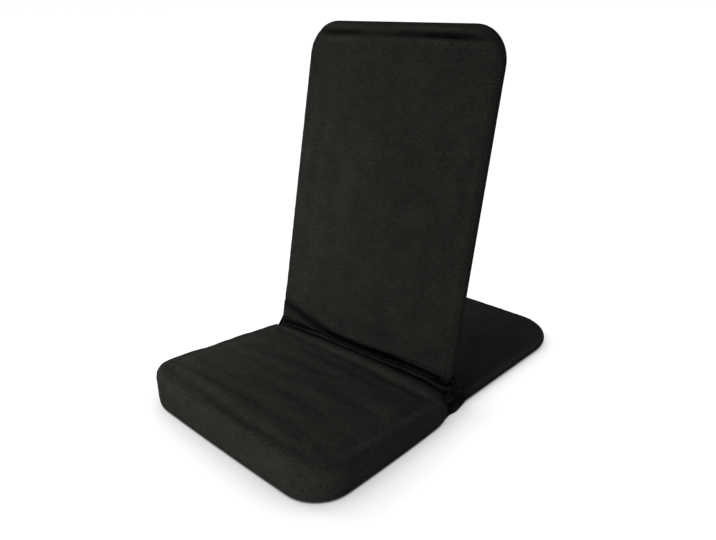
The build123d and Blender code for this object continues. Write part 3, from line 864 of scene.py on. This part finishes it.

# worn is each case's base level of painted light and shade
sheets = {
    "backCaseFront": {
        "leaf": backLeaf, "side": 1, "notch": 0.003, "slot": 0.015, "replaces": "back_front_cloth",
        "seed": 21, "worn": 0.51, "valley": valley,
        "lines": [
            # the dark crease below the top tube, in patches
            (-0.226, 0.6525, -0.090, 0.6540, 0.0, 0.0055, 0.0070),
            (-0.150, 0.6535, 0.080, 0.6535, 0.0005, 0.0050, 0.0034),
            (-0.020, 0.6535, 0.160, 0.6530, 0.0, 0.0050, 0.0048),
            (0.060, 0.6530, 0.226, 0.6510, 0.0006, 0.0055, 0.0064),
            # long soft upright waves in the left third
            (-0.190, 0.120, -0.175, 0.560, 0.006, 0.0130, 0.0012),
            (-0.120, 0.060, -0.130, 0.480, -0.008, 0.0170, 0.0010),
            (-0.050, 0.200, -0.060, 0.620, 0.006, 0.0200, 0.0007),
            (0.150, 0.080, 0.165, 0.500, 0.006, 0.0180, 0.0007),
            # creases that run in from the lower corners
            (-0.150, 0.060, -0.020, 0.034, 0.003, 0.0100, 0.0010),
            (-0.236, 0.092, -0.120, 0.040, 0.004, 0.0090, 0.0012),
            (0.238, 0.085, 0.150, 0.040, 0.003, 0.0080, 0.0012),
            (-0.060, 0.050, 0.150, 0.062, 0.004, 0.0120, 0.0008),
        ],
    },
    "backCaseRear": {
        "leaf": backLeaf, "side": -1, "notch": 0.016, "slot": 0.016, "replaces": "back_rear_cloth",
        "seed": 31, "worn": 0.50,
        "lines": [
            (-0.200, 0.6565, 0.215, 0.6565, 0.0, 0.0024, 0.0012),
            (-0.150, 0.100, -0.165, 0.520, 0.006, 0.0160, 0.0010),
            (0.120, 0.060, 0.140, 0.480, -0.006, 0.0180, 0.0010),
            (-0.235, 0.090, -0.140, 0.020, -0.003, 0.0050, 0.0013),
            (0.235, 0.080, 0.150, 0.018, 0.003, 0.0050, 0.0013),
        ],
    },
    "rearCaseTop": {
        "leaf": rearLeaf, "side": 1, "notch": 0.016, "slot": 0.016, "replaces": "rear_top_cloth",
        "seed": 41, "worn": 0.70, "hingeShade": 0.30,
        "lines": [
            (-0.170, 0.3965, 0.170, 0.3965, 0.0, 0.0022, 0.0010),
            (-0.200, 0.080, -0.120, 0.300, 0.010, 0.0130, 0.0011),
            (0.200, 0.060, 0.090, 0.280, -0.010, 0.0140, 0.0011),
            (-0.160, 0.050, 0.150, 0.060, 0.006, 0.0090, 0.0009),
        ],
    },
    "rearCaseBottom": {
        "leaf": rearLeaf, "side": -1, "notch": 0.003, "slot": 0.033, "replaces": "rear_bottom_cloth",
        "seed": 51, "worn": 0.60, "onFloor": True,
        "lines": [
            (-0.160, 0.120, 0.170, 0.100, 0.006, 0.0120, 0.0008),
            (-0.060, 0.300, 0.160, 0.260, 0.004, 0.0140, 0.0007),
        ],
    },
}


def sharesWith(length, stops):
    # Even shares of a length, with extra ones where the cloth is cut
    even = np.linspace(0, length, int(length / case["cell"]) + 1)
    far = np.abs(even[:, None] - np.array(stops)[None]).min(1) > 0.45 * case["cell"]
    far[[0, -1]] = True
    return np.unique(np.concatenate([even[far], stops])) / length


def caseFace(leaf, notch, slot):
    # One face of a leaf's case, laid out flat with a height for each place. Inside the tube's line it is a
    # grid, and from there strips follow a quarter circle over the tube to the edge.
    sleeve, start = chair["sleeve"], case["start"]
    inner = chair["halfWidth"] - sleeve
    # The slots are slits whose lips almost meet, and only the end of the cloth is cut away beside them
    notchFrom, slotLow, slotHigh = (chair["bracketX"] + lip for lip in (case["notchLip"], *case["slotLips"]))
    straight = leaf["reach"] - leaf["corner"] - start
    cuts = [inner + side * x for side in (-1, 1) for x in (notchFrom, slotLow, slotHigh)]
    across = sharesWith(2 * inner, cuts)
    along = sharesWith(straight + (leaf["corner"] - sleeve) * pi / 4, [notch - start, slot - start])
    outline, facing, _ = roundedOutline(
        inner, start, leaf["reach"] - sleeve, 1e-7, leaf["corner"] - sleeve, across, along)
    nAcross, nAlong = len(across) - 1, len(along) - 1
    grid = patch(outline, across, along)
    # The strips start at the low right corner, go up, over the top and down the left
    strip = np.arange(nAcross, 2 * nAcross + 2 * nAlong + 1) % len(outline)
    line, facing = outline[strip][None], facing[strip]
    facing[0], facing[-1] = (1, 0), (-1, 0)
    turn = np.linspace(0, pi / 2, case["edgeRings"] + 1)
    strips = line + sleeve * np.sin(turn[1:])[:, None, None] * facing
    laid = line + sleeve * turn[:, None, None] * facing
    gridIndex = numbered(grid.shape)
    edge = gridIndex[tuple(borderOrder(nAcross, nAlong)[:, strip])]
    stripIndex = np.concatenate([edge[None], numbered(strips.shape, gridIndex.size)])
    flat = np.concatenate([grid.reshape(-1, 2), strips.reshape(-1, 2)])
    stripHeight = np.maximum(sleeve * np.cos(turn[1:]), case["least"])
    height = np.concatenate([np.full(gridIndex.size, sleeve), np.repeat(stripHeight, len(strip))])
    faces = np.concatenate([gridFaces(gridIndex), gridFaces(stripIndex)])
    uv = np.concatenate([gridFaces(grid), gridFaces(laid)])
    middles = flat[faces].mean(1)
    aside, above = np.abs(middles[:, 0]), middles[:, 1]
    cut = ((aside > notchFrom) & (above < notch)) | ((aside > slotLow) & (aside < slotHigh) & (above < slot))
    return flat, height, faces[~cut], uv[~cut]


def valleyForm(form, x, s):
    # Its height and its painted shade, by how far each place is above the gusset's top
    away = s - (acrossWidth(x, "top") - backFace["z"]) / backFace["share"]
    wing = wingShare(x)
    deep = np.interp(x, form["x"], form["deep"])
    place, width, dark = (form[key][0] + form[key][1] * wing for key in ("place", "width", "dark"))
    depth, darkAbove = (form[key][0] * deep + form[key][1] * wing for key in ("depth", "darkAbove"))
    bulge, bulgePlace, bulgeWidth = form["bulge"]
    height = bulge * bell(away, bulgePlace, bulgeWidth) - depth * bell(away, place, width, 4)
    darkWidth = np.where(away > form["darkPlace"], darkAbove, form["darkBelow"])
    ends = smooth(np.abs(x), 0.200, 0.238)
    return height, dark * bell(away, form["darkPlace"], darkWidth) * (1 - 0.4 * ends)


def caseRelief(setting, x, s, height):
    # The final height over each flat place, and its painted light and shade. Both go by the depth, which is the
    # distance from the leaf's edge.
    leaf, sleeve = setting["leaf"], chair["sleeve"]
    beside = np.abs(x) - (chair["halfWidth"] - leaf["corner"])
    above = s - (leaf["reach"] - leaf["corner"])
    inCorner = leaf["corner"] - np.hypot(beside, above)
    inStraight = np.minimum(chair["halfWidth"] - np.abs(x), leaf["reach"] - s)
    depth = np.where((beside > 0) & (above > 0), inCorner, inStraight)
    onTop = smooth(height, 0.3 * sleeve, 0.98 * sleeve)
    body = smooth(depth, sleeve, sleeve + 0.016)
    sag = case["edgeSag"] * smooth(depth, sleeve - 0.002, sleeve + 0.012)
    sag += case["middleSag"] * smooth(depth, 0.02, 0.14) * smooth(s, 0.02, 0.2)
    seed = setting["seed"]
    relief = folds(x, s, setting["lines"])
    relief += ripples(x, s, case["innerRipples"], seed) * body
    relief += ripples(x, s, case["tubeRipples"], seed) * (1 - body)
    fromTube, puckerWidth = case["puckerPlace"]
    relief += ripples(x, s, case["puckers"], seed) * bell(depth, sleeve + fromTube, puckerWidth)
    hem, hemWidth = case["hem"]
    relief += hem * bell(s, case["start"], hemWidth, 4)
    paler, inward, edgeWidth = case["edgePale"]
    # Painted highlight on raised places and painted shade in folds, and paler cloth along the edge
    rub = setting["worn"] + 50 * relief + paler * bell(depth, inward, edgeWidth)
    # Painted shade near the hinge, where the back shades this face
    rub -= setting.get("hingeShade", 0) * (1 - smooth(s, 0.010, 0.120))
    if "valley" in setting:
        # Painted light in the lower left, and painted shade at the lower right
        rub += 0.08 * smooth(-x, -0.04, 0.16) * (1 - smooth(s, 0.42, 0.60))
        rub -= 0.05 * smooth(x, 0.10, 0.20) * (1 - smooth(s, 0.05, 0.20))
        # The crease sinks in, and painted shade darkens it
        sunk, dark = valleyForm(setting["valley"], x, s)
        relief += sunk
        rub -= dark
    height = height + onTop * (relief - sag)
    # Cloth over the tube stays outside it
    tubeGap = np.sqrt(np.maximum(chair["tube"] ** 2 - (depth - sleeve) ** 2, 0))
    height = np.maximum(height, np.where(tubeGap > 0, tubeGap + case["overTube"], case["least"]))
    if setting.get("onFloor"):
        height = np.minimum(height, sleeve)
    return height, rub


def makeCase(name, setting):
    # The flat face is set up on the leaf: across, along the leaf, and out of its upper or front side
    leaf, side = setting["leaf"], setting["side"]
    flat, height, faces, uv = caseFace(leaf, setting["notch"], setting["slot"])
    x, s = flat.T
    height, rub = caseRelief(setting, x, s, height)
    up = (0, sin(leaf["lean"]), cos(leaf["lean"]))
    out = (0, -cos(leaf["lean"]), sin(leaf["lean"]))
    points = leaf["pivot"] + np.outer(x, (1, 0, 0)) + np.outer(s, up) + np.outer(side * height, out)
    if side < 0:
        faces, uv = faces[:, ::-1], uv[:, ::-1]
    used, faces = np.unique(faces, return_inverse=True)
    piece = makePiece(name, points[used], faces.reshape(-1, 4), uv, canvas, rub[used])
    giveThickness(piece, case["thick"])
    dress(piece, leaf["body"], setting["replaces"])


for sheetName, sheetSetting in sheets.items():
    makeCase(sheetName, sheetSetting)
print("cloth cases done")


def makeGusset():
    # For each place across the chair a side view of eleven points: out of the cushion's rear edge, up to
    # a crease, over a roll to a second crease, over a second roll, and into the deep crease at the back.
    # "out" is the distance in front of the back's own face, and turns with it round the tubes.
    legX, sleeve = chair["legX"], chair["sleeve"]
    reach = legX + gusset["wrapped"]
    u = np.linspace(-reach, reach, int(2 * reach / gusset["step"]) + 1)
    crest, middle, second, top = (acrossWidth(u, name) for name in ("crest", "middle", "second", "top"))
    wing = wingShare(u)
    flat = 1 - wing
    z = np.stack([
        crest - 0.0030, crest - 0.0008, crest + 0.0010, crest + 0.0040,
        (crest + 0.0040 + middle) / 2 + 0.0008, middle, (middle + second) / 2 + 0.0006, second,
        (second + top) / 2, top - 0.0015 - 0.0015 * wing, top + 0.0080 * wing - 0.0045 * flat], 1)
    rolls = np.stack([
        0 * u + 0.0064, 0.0010 + 0.0038 * flat, 0.0028 + 0.0026 * wing,
        0.0016 * wing - 0.0045 * flat, -0.0046 - 0.0054 * flat], 1)

    def faceY(z):
        return backFace["y"] + backFace["lean"] * (z - backFace["z"])

    front = len(gusset["frontY"])
    out = np.concatenate([faceY(z[:, :front]) - gusset["frontY"], rolls], 1)
    t = np.linspace(0, len(gusset["tones"]) - 1, gusset["rows"])
    z, out = through(z, t), through(out, t)
    a, b = np.meshgrid(u, np.linspace(0, 1, gusset["rows"]), indexing="ij")
    push = ripples(a, z, gusset["ripples"])
    out += push * smooth(b, 0.2, 0.4) * smooth(b, 1.0, 0.9)
    # The ends lie closer, and go back round the tubes and along the chair's side
    end = smooth(np.abs(a), *gusset["endFade"])
    close = 0.0044 + np.clip(0.4 * (out - 0.003), -0.0014, 0.0022)
    close = close + (0.0016 - close) * smooth(z, 0.044, 0.054) * (a < 0)
    out = out + (close - out) * end
    out = out + (0.0003 - out) * end * smooth(b, 0.93, 0.99)
    past = np.maximum(np.abs(a) - legX, 0)
    turn = np.minimum(past / sleeve, pi / 2)
    straight = np.maximum(past - sleeve * pi / 2, 0)
    x = np.sign(a) * (np.minimum(np.abs(a), legX) + (sleeve + out) * np.sin(turn))
    y = faceY(z) + sleeve - (sleeve + out) * np.cos(turn) + straight
    # Painted light and shade: the tones, a painted highlight where ripples stand out, painted shade towards the
    # top of the wing, and darker towards the ends
    rub = through(np.array([gusset["tones"]]), t) + 90 * push
    wingTone = gusset["wingTone"] - 0.40 * smooth(b, 0.80, 0.97)
    rub = rub + (wingTone - rub) * wing[:, None] * smooth(b, 0.74, 0.82)
    rub = rub + (gusset["endTone"] - rub) * 0.6 * end * smooth(b, 0.70, 0.80)
    piece = makeCloth("hingeGusset", np.stack([x, y, z], -1), gusset["thick"], rub)
    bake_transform(piece)
    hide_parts("hinge_gusset")


makeGusset()

ear = {
    "x": 0.24225,
    "thick": 0.0011,
    "worn": 0.148,
    "middle": (-0.030, 0.030),
    "rays": 96,
    "rings": 20,
    "flat": (0.086, 0.080),
    "area": 0.0043,
    "fanMiddle": (-0.040, 0.060),
    # how far it stands off: all over, in the fan of creases, and in ripples
    "lift": 0.0012,
    "fan": 0.0011,
    "ripples": [(0.0007, 0, 0.018)],
    # circles that an ear's outline wraps: y, z and radius
    "right": [
        (-0.0573, 0.0080, 0.005), (-0.0573, 0.0390, 0.005), (-0.0370, 0.0600, 0.010), (-0.0300, 0.0730, 0.008),
        (-0.0230, 0.0740, 0.004), (0.0130, 0.0205, 0.006), (0.0090, 0.0100, 0.004), (-0.0195, 0.0080, 0.005)],
    "left": [
        (-0.0560, 0.0080, 0.005), (-0.0560, 0.0370, 0.005), (-0.0365, 0.0560, 0.006), (-0.0300, 0.0680, 0.006),
        (-0.0230, 0.0735, 0.004), (0.0130, 0.0205, 0.006), (0.0090, 0.0100, 0.004), (-0.0195, 0.0080, 0.005)],
}


def hullRadius(angle, circles, middle):
    # How far a straight line from the middle goes before it leaves the shape that wraps the circles:
    # the nearest of the shape's tangent lines, tried for every direction they can face
    facing = np.linspace(0, 2 * pi, 721)[None]
    tangents = [(y - middle[0]) * np.cos(facing) + (z - middle[1]) * np.sin(facing) + r for y, z, r in circles]
    toward = np.cos(angle[:, None] - facing)
    return np.where(toward > 0.02, np.max(tangents, 0) / np.maximum(toward, 0.02), 9).min(1)


def makeEar(name, side, circles, node):
    # Rays from the middle to the outline, crumpled along lines that fan out from the pivot
    angle = np.linspace(0, 2 * pi, ear["rays"] + 1)
    share = np.linspace(0, 1, ear["rings"] + 1) ** 0.8
    a, b = np.meshgrid(angle, share, indexing="ij")
    radius = hullRadius(angle, circles, ear["middle"])[:, None]
    y = ear["middle"][0] + b * radius * np.cos(a)
    z = ear["middle"][1] + b * radius * np.sin(a)
    fan = np.arctan2(z - ear["fanMiddle"][1], y - ear["fanMiddle"][0])
    lift = ear["lift"] + ear["fan"] * np.cos(fan * 11 + 1.2 * np.sin(fan * 3))
    lift += ripples(y, z, ear["ripples"], 70 + side)
    if side < 0:
        lift = lift * (1 - 0.7 * smooth(z, 0.030, 0.055))
    lift = np.maximum(lift, 0) * (0.35 + 0.65 * b)
    grid = np.stack([side * (ear["x"] + ear["thick"] + lift), y, z], -1)
    # The first ray is the last one too, and all start from one point
    index = np.concatenate([np.zeros((ear["rays"], 1), int), numbered((ear["rays"], ear["rings"]), 1)], 1)
    index = np.concatenate([index, index[:1]])
    points = np.concatenate([grid[:1, 0], grid[:-1, 1:].reshape(-1, 3)])
    # Painted highlight where the crumpled cloth stands off, and painted shade where it lies close
    rub = ear["worn"] + 170 * np.concatenate([lift[:1, 0], lift[:-1, 1:].ravel()])
    faces, uv = gridFaces(index[:, 1:]), gridFaces(grid[:, 1:, 1:])
    tips, tipUv = gridFaces(index[:, :2])[:, 1:], gridFaces(grid[:, :2, 1:])[:, 1:]
    if side < 0:
        faces, uv, tips, tipUv = (part[:, ::-1] for part in (faces, uv, tips, tipUv))
    uv = np.concatenate([uv.reshape(-1, 2), tipUv.reshape(-1, 2)])
    piece = makePiece(name, points, faces.tolist() + tips.tolist(), uv, canvas, rub)
    giveThickness(piece, ear["thick"])
    dress(piece, "seat", node)


makeEar("hingeEarRight", 1, ear["right"], "hinge_flap_right")
makeEar("hingeEarLeft", -1, ear["left"], "hinge_flap_left")


def carried(line, across, push):
    # A side view carried across the chair, with every point pushed out of its line
    run = np.gradient(line, axis=0)
    run /= np.linalg.norm(run, axis=1, keepdims=True)
    out = np.stack([-run[:, 1], run[:, 0]], 1)
    return np.concatenate([across[..., None], line[None] + out[None] * push[..., None]], -1)


hood = {
    "inner": 0.2122,
    "outer": 0.2437,
    "roll": 0.003,
    "rollShare": 0.2,
    "width": 0.0335,
    "thick": 0.0010,
    "worn": 0.42,
    "ripples": [(0.0006, 0, 0.020, pi / 2, 1.5)],
    "creases": 0.0009,
    "creaseGap": 0.016,
    # side view as y and z, from behind the back's tube down to the top of the rear support
    "path": [
        (-0.0218, 0.0812), (-0.0202, 0.0745), (-0.0206, 0.0640), (-0.0213, 0.0560), (-0.0212, 0.0480),
        (-0.0192, 0.0400), (-0.0150, 0.0335), (-0.0090, 0.0296), (-0.0020, 0.0280), (0.0080, 0.0276),
        (0.0180, 0.0266)],
}


def makeHood(name, side):
    # The side view carried across from the bracket to the chair's side, where it rolls over and inward
    path = np.array(hood["path"])
    line = through(path.T, np.linspace(0, len(path) - 1, 46)).T
    share = np.linspace(0, 1, 25)
    flat = 1 - hood["rollShare"]
    turn = np.clip((share - flat) / hood["rollShare"], 0, 1) * pi / 2
    width = hood["outer"] - hood["roll"] - hood["inner"]
    across = hood["inner"] + width * np.clip(share / flat, 0, 1) + hood["roll"] * np.sin(turn)
    inward = hood["roll"] * (1 - np.cos(turn))[:, None]
    a, b = np.meshgrid(across, np.linspace(0, 1, len(line)), indexing="ij")
    push = ripples(a, b * 0.07, hood["ripples"], 90 + side)
    push += hood["creases"] * np.cos(2 * pi * (a / hood["creaseGap"] + b * 1.3)) * np.sin(pi * b)
    push = np.maximum(push, -0.0004) * smooth(b, 0.0, 0.15) * smooth(b, 1.0, 0.85)
    grid = carried(line, side * a, push - inward)
    # Painted highlight where the cloth bulges out, and painted shade in its hollows
    piece = makeCloth(name, grid, hood["thick"], hood["worn"] + 200 * push, side < 0)
    dress(piece, "seat")


makeHood("hingeHoodRight", 1)
makeHood("hingeHoodLeft", -1)

tunnel = {
    "halfWidth": 0.2100,
    "middle": (-0.0412, 0.0280),
    "radius": 0.00765,
    "turn": (185, -155),
    "tailY": -0.0500,
    "tail": (0.0145, 0.0250),
    "thick": 0.0010,
    "worn": 0.45,
    "ripples": [(0.0003, 81, 0.02, pi / 2, 1.5)],
}


def makeTunnel():
    # A teardrop side view: up from the tail, once round the cross tube and back to the tail
    turn = np.radians(np.linspace(*tunnel["turn"], 46))
    ring = np.array(tunnel["middle"]) + tunnel["radius"] * np.stack([np.cos(turn), np.sin(turn)], 1)
    tail = np.stack([np.full(12, tunnel["tailY"]), np.linspace(*tunnel["tail"], 12)], 1)
    line = np.concatenate([tail, ring])
    x = np.linspace(-tunnel["halfWidth"], tunnel["halfWidth"], 150)
    a, b = np.meshgrid(x, np.linspace(0, 1, len(line)), indexing="ij")
    push = np.maximum(ripples(a, b * 0.06, tunnel["ripples"]), -0.0001) * smooth(b, 0.2, 0.4)
    # Painted highlight where the cloth bulges out
    rub = tunnel["worn"] + 300 * push
    piece = makeCloth("crossTubeTunnel", carried(line, a, push), tunnel["thick"], rub)
    dress(piece, "seat", "seat_tunnel")


makeTunnel()
print("hinge cloth done")


# Finishes of the hard parts, found by the slot that each part came with

finishOf = {
    "black_steel": "blackSteel",
    "zinc_steel": "zincSteel",
    "black_plastic": "blackPlastic",
    "white_plastic": "whitePlastic",
}
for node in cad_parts.values():
    if node.hide_render:
        continue
    slots = node.data.materials
    current = slots[0].name if len(slots) else ""
    finish = hardMaterials[next((finishOf[slot] for slot in finishOf if slot in current), "blackSteel")]
    for k in range(len(slots)):
        slots[k] = finish
    if not len(slots):
        slots.append(finish)


# Floor, light and camera

studio = {
    "floorSize": 40.0,
    "floorDepth": -0.0003,
    "floorColour": (0.70, 0.70, 0.70, 1),
    "floorGlow": 0.97,
    "floorLit": (0.30, 0.30, 0.30, 1),
    "shadeReach": 0.155,
    "shadeCurve": 0.86,
    "shadeDeep": (0.18, 0.44),
    "worldLight": 0.23,
    # each softbox: place, aim, size and power
    "lamps": {
        "highLeft": ((-0.84, -0.62, 0.72), (0.0, -0.20, 0.08), 0.50, 7.8),
        "lowFront": ((0.38, -1.34, 0.20), (0.0, -0.30, 0.06), 0.36, 4.4),
        "softRear": ((0.50, 1.30, 0.80), (0.0, 0.10, 0.30), 0.90, 3.2),
    },
    "place": (0.8837, -0.9653, 0.7661),
    "azimuth": 43.6,
    "elevation": 22.2,
    "roll": -0.7,
    "lens": 33.72,
}


def seenDirectly(tree):
    # 1 for what the camera sees itself or through glass
    ray = addNode(tree, "ShaderNodeLightPath").outputs
    return calc(tree, "ADD", ray["Is Camera Ray"], ray["Is Transmission Ray"], clamp=True)


def makeFloor():
    # Seen by the camera the floor is white, and shaded only where the chair stands close by
    half, depth = studio["floorSize"], studio["floorDepth"]
    corners = np.array([(-half, -half, depth), (half, -half, depth), (half, half, depth), (-half, half, depth)])
    floor = makePiece("studioFloor", corners, [[0, 1, 2, 3]])
    material, tree, shader = newMaterial("paleFloor")
    seen = seenDirectly(tree)
    shade = addNode(tree, "ShaderNodeAmbientOcclusion", samples=16, Distance=studio["shadeReach"]).outputs["AO"]
    low, high = studio["shadeDeep"]
    eased = {"interpolation_type": "SMOOTHSTEP", "Value": shade, "From_Min": low, "From_Max": high}
    deep = addNode(tree, "ShaderNodeMapRange", **eased).outputs[0]
    dim = calc(tree, "MULTIPLY", calc(tree, "POWER", shade, studio["shadeCurve"]), studio["floorGlow"])
    dim = calc(tree, "MULTIPLY", dim, deep)
    glow = addNode(tree, "ShaderNodeEmission", Color=(1, 1, 1, 1), Strength=dim).outputs[0]
    colour = mixColour(tree, seen, studio["floorColour"], studio["floorLit"])
    tree.links.new(colour, shader.inputs["Base Color"])
    shader.inputs["Roughness"].default_value = 0.9
    shader.inputs["Specular IOR Level"].default_value = 0.0
    both = addNode(tree, "ShaderNodeAddShader", i0=shader.outputs[0], i1=glow).outputs[0]
    look = addNode(tree, "ShaderNodeMixShader", i0=seen, i1=shader.outputs[0], i2=both).outputs[0]
    tree.links.new(look, tree.nodes["Material Output"].inputs["Surface"])
    floor.data.materials.append(material)


def makeLight():
    # A white surround that the camera sees, a dimmer one that lights the chair, and soft lamps
    world = bpy.data.worlds.new("studioWorld")
    world.use_nodes = True
    bpy.context.scene.world = world
    tree = world.node_tree
    tree.nodes.clear()
    strength = ranged(tree, seenDirectly(tree), 0.0, 1.0, studio["worldLight"], 1.0)
    back = addNode(tree, "ShaderNodeBackground", Color=(1, 1, 1, 1), Strength=strength).outputs[0]
    addNode(tree, "ShaderNodeOutputWorld", Surface=back)
    for name, (place, aim, size, power) in studio["lamps"].items():
        lamp = bpy.data.lights.new(name, "AREA")
        lamp.energy = power
        lamp.size = size
        box = bpy.data.objects.new(name, lamp)
        bpy.context.scene.collection.objects.link(box)
        box.location = place
        box.rotation_mode = "QUATERNION"
        box.rotation_quaternion = (Vector(place) - Vector(aim)).to_track_quat("Z", "Y")


def makeCamera():
    # It looks along its azimuth and down by its elevation, and leans to one side by its roll
    a, e, r = (radians(studio[k]) for k in ("azimuth", "elevation", "roll"))
    ahead = Vector((-sin(a) * cos(e), cos(a) * cos(e), -sin(e)))
    right = Vector((cos(a), sin(a), 0))
    up = right.cross(ahead)
    turnedRight = right * cos(r) + up * sin(r)
    turnedUp = up * cos(r) - right * sin(r)
    camera = bpy.data.objects.new("camera", bpy.data.cameras.new("camera"))
    bpy.context.scene.collection.objects.link(camera)
    camera.data.sensor_width = 36
    camera.data.lens = studio["lens"]
    camera.data.clip_start, camera.data.clip_end = 0.05, 60
    matrix = Matrix((turnedRight, turnedUp, -ahead)).transposed().to_4x4()
    matrix.translation = Vector(studio["place"])
    camera.matrix_world = matrix
    bpy.context.scene.camera = camera
    bpy.context.scene.view_settings.view_transform = "Standard"


makeFloor()
makeLight()
makeCamera()
print("floor, light and camera done")
